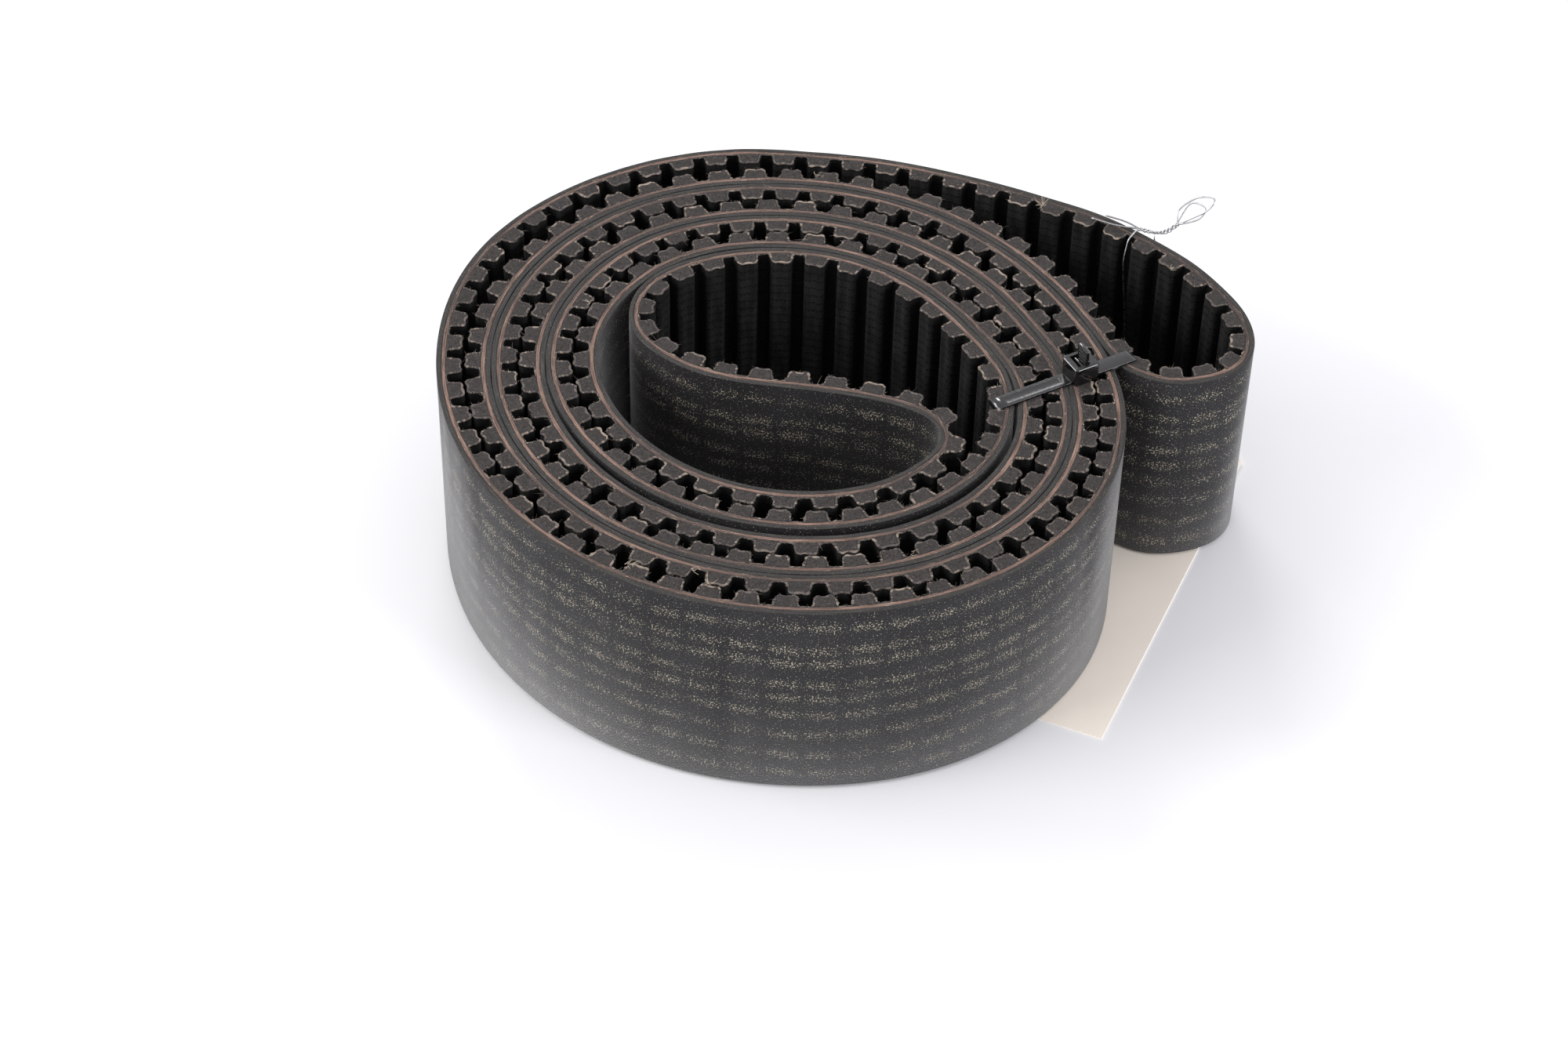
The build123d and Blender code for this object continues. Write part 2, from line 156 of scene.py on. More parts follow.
# ---------------------------------------------------------------- materials
class Nodes:
    """A material's node tree, with short names for the nodes that are used most."""

    def __init__(self, name):
        self.material = bpy.data.materials.new(name)
        self.material.use_nodes = True
        self.tree = self.material.node_tree
        self.shader = self.tree.nodes["Principled BSDF"]

    def new(self, kind, **settings):
        node = self.tree.nodes.new(kind)
        for key, value in settings.items():
            setattr(node, key, value)
        return node

    def put(self, socket, value):
        if isinstance(value, bpy.types.NodeSocket):
            self.tree.links.new(value, socket)
        else:
            socket.default_value = value

    def colour(self, value, roughness=None, **rest):
        if isinstance(value, tuple):
            value = (*value, 1)
        self.put(self.shader.inputs["Base Color"], value)
        if roughness is not None:
            self.put(self.shader.inputs["Roughness"], roughness)
        for key, setting in rest.items():
            self.put(self.shader.inputs[key], setting)

    def math(self, operation, *values):
        node = self.new("ShaderNodeMath", operation=operation)
        for socket, value in zip(node.inputs, values):
            self.put(socket, value)
        return node.outputs[0]

    def place(self, name="belt_place"):
        """Belt coordinates in millimetres: along the belt, height over the cords, height over the floor."""
        scale = self.new("ShaderNodeVectorMath", operation="SCALE")
        self.put(scale.inputs[0], self.new("ShaderNodeAttribute", attribute_name=name).outputs["Vector"])
        scale.inputs["Scale"].default_value = 1000
        return scale.outputs[0]

    def object_place(self):
        scale = self.new("ShaderNodeVectorMath", operation="SCALE")
        self.put(scale.inputs[0], self.new("ShaderNodeTexCoord").outputs["Object"])
        scale.inputs["Scale"].default_value = 1000
        return scale.outputs[0]

    def stretch(self, vector, factors):
        node = self.new("ShaderNodeVectorMath", operation="MULTIPLY")
        self.put(node.inputs[0], vector)
        node.inputs[1].default_value = factors
        return node.outputs[0]

    def noise(self, vector, scale=1.0, detail=2.0, rough=0.5, distortion=0.0):
        node = self.new("ShaderNodeTexNoise")
        self.put(node.inputs["Vector"], vector)
        node.inputs["Scale"].default_value = scale
        node.inputs["Detail"].default_value = detail
        node.inputs["Roughness"].default_value = rough
        node.inputs["Distortion"].default_value = distortion
        return node.outputs["Fac"]

    def ramp(self, value, low, high, start=0.0, end=1.0, smooth=True):
        node = self.new("ShaderNodeMapRange", interpolation_type="SMOOTHSTEP" if smooth else "LINEAR")
        self.put(node.inputs["Value"], value)
        for socket, number in zip(("From Min", "From Max", "To Min", "To Max"), (low, high, start, end)):
            node.inputs[socket].default_value = number
        return node.outputs["Result"]

    def mix(self, factor, first, second):
        node = self.new("ShaderNodeMix", data_type="RGBA")
        self.put(node.inputs[0], factor)
        for socket, value in zip(node.inputs[6:8], (first, second)):
            self.put(socket, (*value, 1) if isinstance(value, tuple) else value)
        return node.outputs[2]

    def bump(self, height, distance, strength=1.0):
        node = self.new("ShaderNodeBump")
        node.inputs["Strength"].default_value = strength
        node.inputs["Distance"].default_value = distance
        self.put(node.inputs["Height"], height)
        self.put(self.shader.inputs["Normal"], node.outputs[0])

    def split(self, vector):
        node = self.new("ShaderNodeSeparateXYZ")
        self.put(node.inputs[0], vector)
        return node.outputs


# Each speckled row's distance below the belt's upper edge, in millimetres
ROWS = (4.4, 10.2, 13.7, 19.6, 23.8, 28.7, 34.4, 40.4, 45.8)
DASH_HALF = 3.2


def back_cloth():
    """Charcoal back with fine olive speckle, gathered in broken rows that repeat with the teeth."""
    m = Nodes("back_cloth")
    place = m.place()
    along, _, up = m.split(place)
    wander = m.ramp(m.noise(m.stretch(place, (0.035, 0, 0.05)), 1.0, 1.0), 0, 1, -1.6, 1.6, smooth=False)
    level = m.math("ADD", up, wander)
    ragged = m.ramp(m.noise(place, 1.1, 3.0, 0.6), 0, 1, -1.5, 1.5, smooth=False)
    rows = None
    for drop in ROWS:
        away = m.math("ABSOLUTE", m.math("SUBTRACT", level, BELT_TOP / MM - drop))
        row = m.ramp(m.math("ADD", away, ragged), 0.1, 2.3, 1.0, 0.0)
        rows = row if rows is None else m.math("MAXIMUM", rows, row)
    drift = m.ramp(m.noise(m.stretch(place, (0.02, 0, 0.12)), 1.0, 1.0), 0, 1, -1.2, 1.2, smooth=False)
    phase = m.math("PINGPONG", m.math("ADD", along, drift), 4.0)
    dash = m.ramp(m.math("ADD", phase, ragged), DASH_HALF - 0.9, DASH_HALF + 0.7, 1.0, 0.3)
    patchy = m.ramp(m.noise(m.stretch(place, (0.07, 0, 0.14)), 1.0, 2.0), 0.3, 0.6, 0.55, 1.0)
    gathered = m.math("MULTIPLY", m.math("MULTIPLY", rows, dash), patchy)
    density = m.math("ADD", m.math("MULTIPLY", gathered, 0.095), 0.025)
    grain = m.noise(place, 2.6, 2.0, 0.75)
    speck = m.ramp(m.math("SUBTRACT", grain, m.math("SUBTRACT", 0.665, density)), 0.0, 0.035)
    tint = m.mix(m.noise(place, 0.9, 1.0), (0.40, 0.365, 0.25), (0.47, 0.415, 0.345))
    cloud = m.ramp(m.noise(m.stretch(place, (0.05, 0, 0.08)), 1.0, 3.0), 0.3, 0.7)
    ground = m.mix(cloud, (0.007, 0.007, 0.0085), (0.014, 0.0135, 0.0155))
    ground = m.mix(m.ramp(m.noise(place, 3.2, 2.0), 0.45, 0.75, 0.0, 0.4), ground, (0.05, 0.048, 0.048))
    m.colour(m.mix(m.math("MULTIPLY", speck, 0.9), ground, tint), roughness=0.6)
    m.put(m.shader.inputs["Specular IOR Level"], 0.25)
    m.put(m.shader.inputs["Sheen Weight"], 0.7)
    m.put(m.shader.inputs["Sheen Roughness"], 0.3)
    m.bump(m.noise(place, 2.6, 3.0, 0.65), 0.10 * MM, 1.0)
    return m.material


def cut_backing():
    """Cut edge of the backing: dark rubber with fine knife marks and stray olive specks."""
    m = Nodes("cut_backing")
    place = m.place()
    lines = m.noise(m.stretch(place, (0.12, 6.0, 1.0)), 1.0, 3.0, 0.6)
    grain = m.noise(place, 4.5, 2.0, 0.6)
    ground = m.mix(m.ramp(lines, 0.38, 0.68), (0.015, 0.014, 0.014), (0.050, 0.045, 0.042))
    m.colour(m.mix(m.ramp(grain, 0.60, 0.72, 0.0, 0.8), ground, (0.20, 0.175, 0.125)), roughness=0.65)
    m.put(m.shader.inputs["Specular IOR Level"], 0.35)
    m.bump(m.math("ADD", lines, grain), 0.10 * MM, 0.9)
    return m.material


def cut_cords():
    """Cut edge of the cord layer: a salmon band of fibres, patchy in places and dimmed by painted shade
    towards the back right of the coil, in dark rubber.
    """
    m = Nodes("cut_cords")
    place = m.place()
    _, height, _ = m.split(place)
    strands = m.noise(m.stretch(place, (0.14, 7.5, 1.0)), 1.0, 3.0, 0.65)
    sway = m.ramp(m.noise(m.stretch(place, (0.18, 0, 0)), 1.0, 2.0), 0, 1, -0.22, 0.22, smooth=False)
    fray = m.ramp(m.noise(place, 2.2, 2.0), 0, 1, -0.22, 0.22, smooth=False)
    away = m.math("ABSOLUTE", m.math("ADD", height, sway))
    line = m.ramp(m.math("ADD", away, fray), 0.24, 0.54, 1.0, 0.0)
    stain = m.ramp(m.noise(m.stretch(place, (0.018, 0.3, 0.0)), 1.0, 3.0), 0.40, 0.60, 1.0, 0.3)
    fibre = m.mix(m.ramp(strands, 0.36, 0.62), (0.085, 0.052, 0.043), (0.33, 0.215, 0.17))
    fibre = m.mix(m.ramp(strands, 0.60, 0.76), fibre, (0.58, 0.47, 0.39))
    grit = m.ramp(m.noise(place, 4.5, 3.0, 0.7), 0.35, 0.7)
    rubber = m.mix(grit, (0.026, 0.023, 0.022), (0.075, 0.065, 0.062))
    across, back, _ = m.split(m.object_place())
    # Painted shade: the fibre band is dimmed towards the back right of the coil, where x + y runs from 82 to
    # 96 mm.
    back_right_painted_shade = m.ramp(m.math("ADD", across, back), 82, 96, 1.0, 0.25)
    shown = m.math("MULTIPLY", m.math("MULTIPLY", line, stain), back_right_painted_shade)
    m.colour(m.mix(shown, rubber, fibre), roughness=0.75)
    m.put(m.shader.inputs["Specular IOR Level"], 0.25)
    m.bump(strands, 0.12 * MM, 1.0)
    return m.material


def cut_rubber():
    """Cut edge of the tooth rubber: brown-grey, ground rough, with pale crumbs."""
    m = Nodes("cut_rubber")
    place = m.place()
    coarse = m.noise(m.stretch(place, (1.0, 1.0, 0.2)), 1.1, 3.0, 0.6)
    cloud = m.ramp(m.noise(m.stretch(place, (0.06, 0.0, 0.0)), 1.0, 2.0), 0.35, 0.65, 0.0, 0.5)
    fine = m.noise(place, 5.5, 3.0, 0.75)
    ground = m.mix(m.ramp(coarse, 0.3, 0.7), (0.016, 0.014, 0.014), (0.047, 0.0415, 0.0405))
    ground = m.mix(m.ramp(fine, 0.42, 0.66, 0.0, 0.6), ground, (0.125, 0.108, 0.101))
    ground = m.mix(cloud, ground, (0.036, 0.032, 0.032))
    crumb = m.ramp(m.noise(place, 3.0, 1.0), 0.68, 0.76)
    m.colour(m.mix(m.math("MULTIPLY", crumb, 0.6), ground, (0.38, 0.31, 0.26)), roughness=0.8)
    m.put(m.shader.inputs["Specular IOR Level"], 0.25)
    m.bump(m.math("ADD", m.math("MULTIPLY", coarse, 0.8), fine), 0.2 * MM, 1.0)
    return m.material


def cut_fabric():
    """Frayed cut edge of the tooth fabric, with pale broken yarn ends."""
    m = Nodes("cut_fabric")
    place = m.place()
    fine = m.noise(place, 4.6, 3.0, 0.7)
    fray = m.noise(place, 1.3, 2.0)
    ground = m.mix(m.ramp(fine, 0.36, 0.64), (0.032, 0.028, 0.027), (0.135, 0.115, 0.105))
    ground = m.mix(m.ramp(fray, 0.52, 0.68, 0.0, 0.8), ground, (0.36, 0.29, 0.235))
    m.colour(ground, roughness=0.85)
    m.put(m.shader.inputs["Specular IOR Level"], 0.25)
    m.bump(fine, 0.25 * MM, 1.0)
    return m.material


STITCH_ROW = 2.1
STITCH_STEP = 0.95


def tooth_fabric():
    """Black nylon on the teeth; the crests show rows of small scalloped stitches across them."""
    m = Nodes("tooth_weave")
    place = m.place("weave_place")
    around, height, up = m.split(place)
    shift = m.ramp(m.noise(place, 0.5, 2.0), 0, 1, -0.3, 0.3, smooth=False)
    step = m.math("SINE", m.math("MULTIPLY", m.math("ADD", around, shift), 2 * pi / STITCH_STEP))
    sag = m.math("MULTIPLY", step, 0.18)
    level = m.math("ADD", m.math("ADD", up, shift), sag)
    row = m.math("SINE", m.math("MULTIPLY", level, 2 * pi / STITCH_ROW))
    notch = m.math("MULTIPLY", m.ramp(row, 0.35, 0.95), m.ramp(step, -0.5, 0.7, 0.35, 1.0))
    rib = m.math("SINE", m.math("MULTIPLY", m.math("ADD", up, shift), 2 * pi / 0.5))
    # Crests are lighter than the flanks and the gaps between teeth: partly wear on the crests, partly
    # painted shade on the flanks and in the gaps.
    crest = m.ramp(height, 2.7, 3.5)
    worn = m.noise(m.stretch(place, (0.6, 0.0, 0.15)), 1.0, 3.0)
    fluff = m.noise(place, 4.2, 2.0, 0.6)
    bright = m.mix(m.ramp(worn, 0.32, 0.66), (0.006, 0.006, 0.006), (0.017, 0.016, 0.0155))
    ground = m.mix(crest, (0.003, 0.003, 0.0033), bright)
    ground = m.mix(m.ramp(fluff, 0.60, 0.76, 0.0, 0.4), ground, (0.045, 0.041, 0.039))
    m.colour(m.mix(m.math("MULTIPLY", notch, 0.85), ground, (0.004, 0.004, 0.0045)), roughness=0.8)
    m.put(m.shader.inputs["Specular IOR Level"], 0.2)
    ribbing = m.math("MULTIPLY", m.math("ADD", rib, fluff), 0.3)
    relief = m.math("SUBTRACT", ribbing, m.math("MULTIPLY", notch, 1.5))
    m.bump(relief, 0.12 * MM, 1.0)
    return m.material


def thread(name, dark, light):
    m = Nodes(name)
    shade = m.noise(m.object_place(), 1.5, 2.0)
    m.colour(m.mix(m.ramp(shade, 0.35, 0.65), dark, light), roughness=0.8)
    return m.material


def tie_nylon():
    """Glossy black moulded nylon with faint mould texture and scuffs."""
    m = Nodes("tie_nylon_gloss")
    place = m.object_place()
    scuff = m.noise(place, 1.6, 4.0, 0.7)
    ground = m.mix(m.ramp(scuff, 0.5, 0.8, 0.0, 0.5), (0.005, 0.005, 0.0055), (0.018, 0.018, 0.019))
    m.colour(ground, roughness=m.ramp(scuff, 0.35, 0.75, 0.12, 0.26))
    m.put(m.shader.inputs["Coat Weight"], 0.7)
    m.put(m.shader.inputs["Coat Roughness"], 0.07)
    m.bump(m.noise(place, 1.2, 2.0), 0.012 * MM, 0.5)
    return m.material


def tag_paper(name, base, fleck):
    m = Nodes(name)
    place = m.object_place()
    fibres = m.noise(m.stretch(place, (1.0, 2.4, 1.0)), 0.9, 4.0, 0.7, 0.6)
    cloud = m.noise(place, 0.06, 2.0)
    ground = m.mix(m.ramp(cloud, 0.3, 0.7), base, tuple(0.97 * c for c in base))
    m.colour(m.mix(m.ramp(fibres, 0.62, 0.8, 0.0, 0.3), ground, fleck), roughness=0.85)
    m.bump(fibres, 0.03 * MM, 0.6)
    return m.material


def wire_metal():
    m = Nodes("wire_metal")
    shade = m.noise(m.object_place(), 2.0, 3.0)
    tone = m.mix(shade, (0.36, 0.36, 0.37), (0.56, 0.56, 0.57))
    m.colour(tone, roughness=m.ramp(shade, 0.3, 0.7, 0.22, 0.4))
    m.put(m.shader.inputs["Metallic"], 1.0)
    m.bump(shade, 0.02 * MM, 0.5)
    return m.material


# ---------------------------------------------------------------- the belt's route
def outlines(node):
    """For each loose part of a node, the plan points of its upright edges at mid height."""
    mesh = NODES[node].data
    low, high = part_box(node)
    middle = (low.z + high.z) / 2
    place = np.empty(len(mesh.vertices) * 3)
    mesh.vertices.foreach_get("co", place)
    place = place.reshape(-1, 3)
    ends = np.empty(len(mesh.edges) * 2, int)
    mesh.edges.foreach_get("vertices", ends)
    rounded = np.round(place * 1e6).astype(int)
    _, first, merged = np.unique(rounded, axis=0, return_index=True, return_inverse=True)
    place = place[first]
    ends = merged.ravel()[ends.reshape(-1, 2)]
    label = np.arange(len(place))
    settled = False
    while not settled:
        before = label.copy()
        least = np.minimum(label[ends[:, 0]], label[ends[:, 1]])
        np.minimum.at(label, ends[:, 0], least)
        np.minimum.at(label, ends[:, 1], least)
        settled = (before == label).all()
    start, end = place[ends[:, 0]], place[ends[:, 1]]
    upright = np.abs(start[:, :2] - end[:, :2]).max(1) < 2e-6
    upright &= (start[:, 2] - middle) * (end[:, 2] - middle) < 0
    parts = {}
    for point, part in zip(start[upright], label[ends[upright, 0]]):
        parts.setdefault(part, set()).add((round(point[0], 6), round(point[1], 6)))
    return [np.array(sorted(points)) for points in parts.values()]


def tooth_station(points):
    """Cord-line point and tooth direction of one core, from its outline seen from above."""
    middle = points.mean(0)
    ring = points[np.argsort(np.arctan2(*(points - middle).T[::-1]))]
    after = np.roll(ring, -1, 0)
    cross = ring[:, 0] * after[:, 1] - ring[:, 1] * after[:, 0]
    centre = ((ring + after) * cross[:, None]).sum(0) / (3 * cross.sum())
    (x, y), (u, v) = (ring - centre).T, (after - centre).T
    area = x * v - y * u
    sxx = ((x * x + x * u + u * u) * area).sum()
    syy = ((y * y + y * v + v * v) * area).sum()
    sxy = ((2 * x * y + x * v + u * y + 2 * u * v) * area).sum() / 2
    angle = 0.5 * np.arctan2(2 * sxy, sxx - syy)
    along = np.array([cos(angle), sin(angle)])
    toothward = np.array([-along[1], along[0]])
    side, height = (points - centre) @ along, (points - centre) @ toothward
    if np.ptp(side[height > height.max() * 0.8]) > np.ptp(side[height < height.min() * 0.8]):
        toothward, height = -toothward, -height
    crest = np.where(height > height.max() - 0.05 * MM)[0]
    ends = points[[crest[side[crest].argmin()], crest[side[crest].argmax()]]]
    along = (ends[1] - ends[0]) / np.linalg.norm(ends[1] - ends[0])
    normal = np.array([-along[1], along[0]])
    normal = normal if normal @ toothward > 0 else -normal
    return np.concatenate([ends.mean(0) - normal * CORE_TOP, normal])


def chain(stations):
    """The teeth in the order they follow each other along the belt."""
    point, normal = stations[:, :2], stations[:, 2:]
    along = np.stack([normal[:, 1], -normal[:, 0]], 1)
    order, left = [0], set(range(1, len(stations)))
    while left:
        last = order[-1]
        others = np.array(sorted(left))
        miss = np.linalg.norm(point[others] - point[last] - along[last] * PITCH, axis=1)
        nearest = int(others[(miss + 4 * MM * (1 - along[others] @ along[last])).argmin()])
        order.append(nearest)
        left.remove(nearest)
    return stations[order]


STATIONS = chain(np.array([tooth_station(points) for points in outlines("tooth_cores")]))
TEETH = len(STATIONS)


def route(teeth):
    """Cord-line points, directions along and towards the teeth; teeth counts pitches from the start."""
    teeth = np.asarray(teeth, float)
    first = np.floor(teeth).astype(int) % TEETH
    t = (teeth - np.floor(teeth))[:, None]
    a, b = STATIONS[first], STATIONS[(first + 1) % TEETH]
    pa, pb = a[:, :2], b[:, :2]
    da = np.stack([a[:, 3], -a[:, 2]], 1) * PITCH
    db = np.stack([b[:, 3], -b[:, 2]], 1) * PITCH
    point = pa * (2 * t**3 - 3 * t**2 + 1) + da * (t**3 - 2 * t**2 + t)
    point = point + pb * (3 * t**2 - 2 * t**3) + db * (t**3 - t**2)
    slope = pa * (6 * t**2 - 6 * t) + da * (3 * t**2 - 4 * t + 1)
    slope = slope + pb * (6 * t - 6 * t**2) + db * (3 * t**2 - 2 * t)
    along = slope / np.linalg.norm(slope, axis=1)[:, None]
    return point, along, np.stack([-along[:, 1], along[:, 0]], 1)


def lay(teeth, height, ahead=0.0):
    """Plan points at a height over the cords, and a straight distance ahead of the place."""
    point, along, toothward = route(teeth)
    height = np.broadcast_to(height, len(point))[:, None]
    ahead = np.broadcast_to(ahead, len(point))[:, None]
    return point + toothward * height + along * ahead


# ---------------------------------------------------------------- meshes
def smooth_noise(count, step, size, seed):
    """Closed random wave of a count of samples, with bumps about step samples long."""
    random = np.random.default_rng(seed)
    knots = max(4, round(count / step))
    values = random.normal(0, size, knots)
    at = np.arange(count) * knots / count
    k = np.floor(at).astype(int)
    t = at - k
    t = t * t * (3 - 2 * t)
    return values[k % knots] * (1 - t) + values[(k + 1) % knots] * t


def build(name, vertices, faces, materials, slots=None, place=None, place_name="belt_place", smooth=True):
    """A mesh object; place holds one vector for each corner of each face."""
    mesh = bpy.data.meshes.new(name)
    vertices, faces = np.asarray(vertices, np.float32), np.asarray(faces, np.int32)
    count, sides = faces.shape
    mesh.vertices.add(len(vertices))
    mesh.vertices.foreach_set("co", vertices.ravel())
    mesh.loops.add(count * sides)
    mesh.loops.foreach_set("vertex_index", faces.ravel())
    mesh.polygons.add(count)
    mesh.polygons.foreach_set("loop_start", np.arange(count, dtype=np.int32) * sides)
    mesh.polygons.foreach_set("loop_total", np.full(count, sides, np.int32))
    for material in materials:
        mesh.materials.append(material)
    if slots is not None:
        mesh.polygons.foreach_set("material_index", np.asarray(slots, np.int32))
    mesh.polygons.foreach_set("use_smooth", np.full(count, smooth))
    if place is not None:
        layer = mesh.attributes.new(place_name, "FLOAT_VECTOR", "CORNER")
        layer.data.foreach_set("vector", np.asarray(place, np.float32).ravel())
    mesh.update()
    mesh.validate()
    return linked(name, mesh)


def from_lists(name, vertices, faces, material):
    """A smooth-shaded mesh object whose faces may have different numbers of corners."""
    mesh = bpy.data.meshes.new(name)
    mesh.from_pydata(vertices, [], faces)
    mesh.materials.append(material)
    mesh.polygons.foreach_set("use_smooth", np.full(len(faces), True))
    mesh.update()
    return linked(name, mesh)


def ring_faces(rows, columns):
    """Quads of a grid closed both ways: rows run along the belt, columns round its section."""
    row = np.arange(rows)[:, None]
    column = np.arange(columns)[None, :]
    after, beside = (row + 1) % rows, (column + 1) % columns
    here, onward = row * columns, after * columns
    corners = (here + column, onward + column, onward + beside, here + beside)
    return np.stack(np.broadcast_arrays(*corners), -1).reshape(-1, 4)


def ring_place(along, heights, ups, length):
    """Belt coordinates at every corner of ring_faces, with no jump where the belt closes."""
    rows, columns = heights.shape
    row = np.arange(rows)[:, None]
    column = np.arange(columns)[None, :]
    after, beside = (row + 1) % rows, (column + 1) % columns
    onward = np.concatenate([along, [length]])
    corners = []
    for r, c, s in ((row, column, onward[row]), (after, column, onward[row + 1]),
                    (after, beside, onward[row + 1]), (row, beside, onward[row])):
        r, c, s = np.broadcast_arrays(r, c, s)
        corners.append(np.stack([s, heights[r, c], ups[r, c]], -1))
    return np.stack(corners, -2).reshape(-1, 4, 3)


def smooth_ring(name, inner, outer, top_rows, rough, materials, seed):
    """One smooth layer of the belt between two heights over the cords, with a worn cut edge."""
    steps = TEETH * 8
    teeth = np.arange(steps) / 8
    bevel = min(0.12 * MM, (outer - inner) / 5)
    across = np.linspace(inner + bevel, outer - bevel, top_rows)
    section = [(inner, BELT_FLOOR + bevel), (inner, BELT_TOP - bevel)]
    section += [(inner + bevel * 0.3, BELT_TOP - bevel * 0.3)]
    section += [(height, BELT_TOP) for height in across]
    section += [(outer - bevel * 0.3, BELT_TOP - bevel * 0.3), (outer, BELT_TOP - bevel)]
    section += [(outer, BELT_FLOOR + bevel), (outer - bevel, BELT_FLOOR), (inner + bevel, BELT_FLOOR)]
    heights = np.tile([h for h, _ in section], (steps, 1)).astype(float)
    ups = np.tile([z for _, z in section], (steps, 1)).astype(float)
    for column, (_, z) in enumerate(section):
        if z > BELT_TOP - 2 * bevel:
            ups[:, column] += smooth_noise(steps, 5, rough, seed + column)
            ups[:, column] += smooth_noise(steps, 40, rough * 0.8, seed + 50)
    vertices = np.empty((steps, len(section), 3))
    for column in range(len(section)):
        vertices[:, column, :2] = lay(teeth, heights[:, column])
    vertices[:, :, 2] = ups
    faces = ring_faces(steps, len(section))
    place = ring_place(teeth * PITCH, heights, ups, TEETH * PITCH)
    on_top = np.zeros(len(section), int)
    on_top[1:len(section) - 4] = 1
    slots = np.tile(on_top, steps)
    return build(name, vertices.reshape(-1, 3), faces, materials, slots, place)


def arc(start, through, end, count):
    """Points of the circular arc through three points, without the last."""
    (ax, ay), (bx, by), (cx, cy) = start, through, end
    d = 2 * (ax * (by - cy) + bx * (cy - ay) + cx * (ay - by))
    a2, b2, c2 = ax * ax + ay * ay, bx * bx + by * by, cx * cx + cy * cy
    ux = (a2 * (by - cy) + b2 * (cy - ay) + c2 * (ay - by)) / d
    uy = (a2 * (cx - bx) + b2 * (ax - cx) + c2 * (bx - ax)) / d
    first, last = np.arctan2(ay - uy, ax - ux), np.arctan2(cy - uy, cx - ux)
    mid = np.arctan2(by - uy, bx - ux)
    turn = (last - first) % (2 * pi)
    if (mid - first) % (2 * pi) > turn:
        turn -= 2 * pi
    angles = first + turn * np.arange(count) / count
    radius = np.hypot(ax - ux, ay - uy)
    return [(ux + radius * cos(a), uy + radius * sin(a)) for a in angles]


def straight(start, end, count):
    return [(start[0] + (end[0] - start[0]) * i / count, start[1] + (end[1] - start[1]) * i / count)
            for i in range(count)]


ROOT, FLANK, CORNER, CREST, GROUND = 5, 5, 5, 6, 5


def tooth_points(foot, base, shoulder, land, base_height, corner_height, top, rounded_root):
    """One tooth's outline from land to land: (ahead, height) pairs."""
    corner = ((2.5 * shoulder + CREST_HALF) / 3.5, (corner_height + 2.5 * top) / 3.5)
    bend = (base + 0.18 * MM, base_height - 0.7 * (base_height - land))
    left = [(-foot, land), (-base, base_height), (-shoulder, corner_height), (-CREST_HALF, top)]
    if rounded_root:
        points = arc(left[0], (-bend[0], bend[1]), left[1], ROOT)
    else:
        points = straight(left[0], left[1], ROOT)
    points += straight(left[1], left[2], FLANK)
    points += arc(left[2], (-corner[0], corner[1]), left[3], CORNER)
    crest = arc(left[3], (0, top - CREST_DISH), (CREST_HALF, top), CREST)
    falling = [(-a, h) for a, h in points[::-1]]
    return points + crest + [(CREST_HALF, top)] + falling


OUTER = tooth_points(3.15 * MM, 2.6 * MM, 2.36 * MM, LAND, LAND + 0.6 * MM,
                     TOOTH_TOP - 1.2 * MM, TOOTH_TOP, True)
INNER = tooth_points(2.45 * MM, 2.18 * MM, 1.93 * MM, CORD_RADIUS, LAND + FACING,
                     CORE_TOP - 0.8 * MM, CORE_TOP, False)


def toothed_line(tooth, land):
    """Teeth numbers, distances ahead and heights of the whole toothed line; lands follow the belt's bend."""
    foot = tooth[-1][0]
    numbers, ahead, height = [], [], []
    for k in range(TEETH):
        for a, h in tooth:
            on_foot = h <= land + 1e-9
            numbers.append(k + a / PITCH if on_foot else k)
            ahead.append(0.0 if on_foot else a)
            height.append(h)
        gap = PITCH - 2 * foot
        for i in range(1, GROUND):
            numbers.append(k + (foot + gap * i / GROUND) / PITCH)
            ahead.append(0.0)
            height.append(land)
    return np.array(numbers), np.array(ahead), np.array(height)


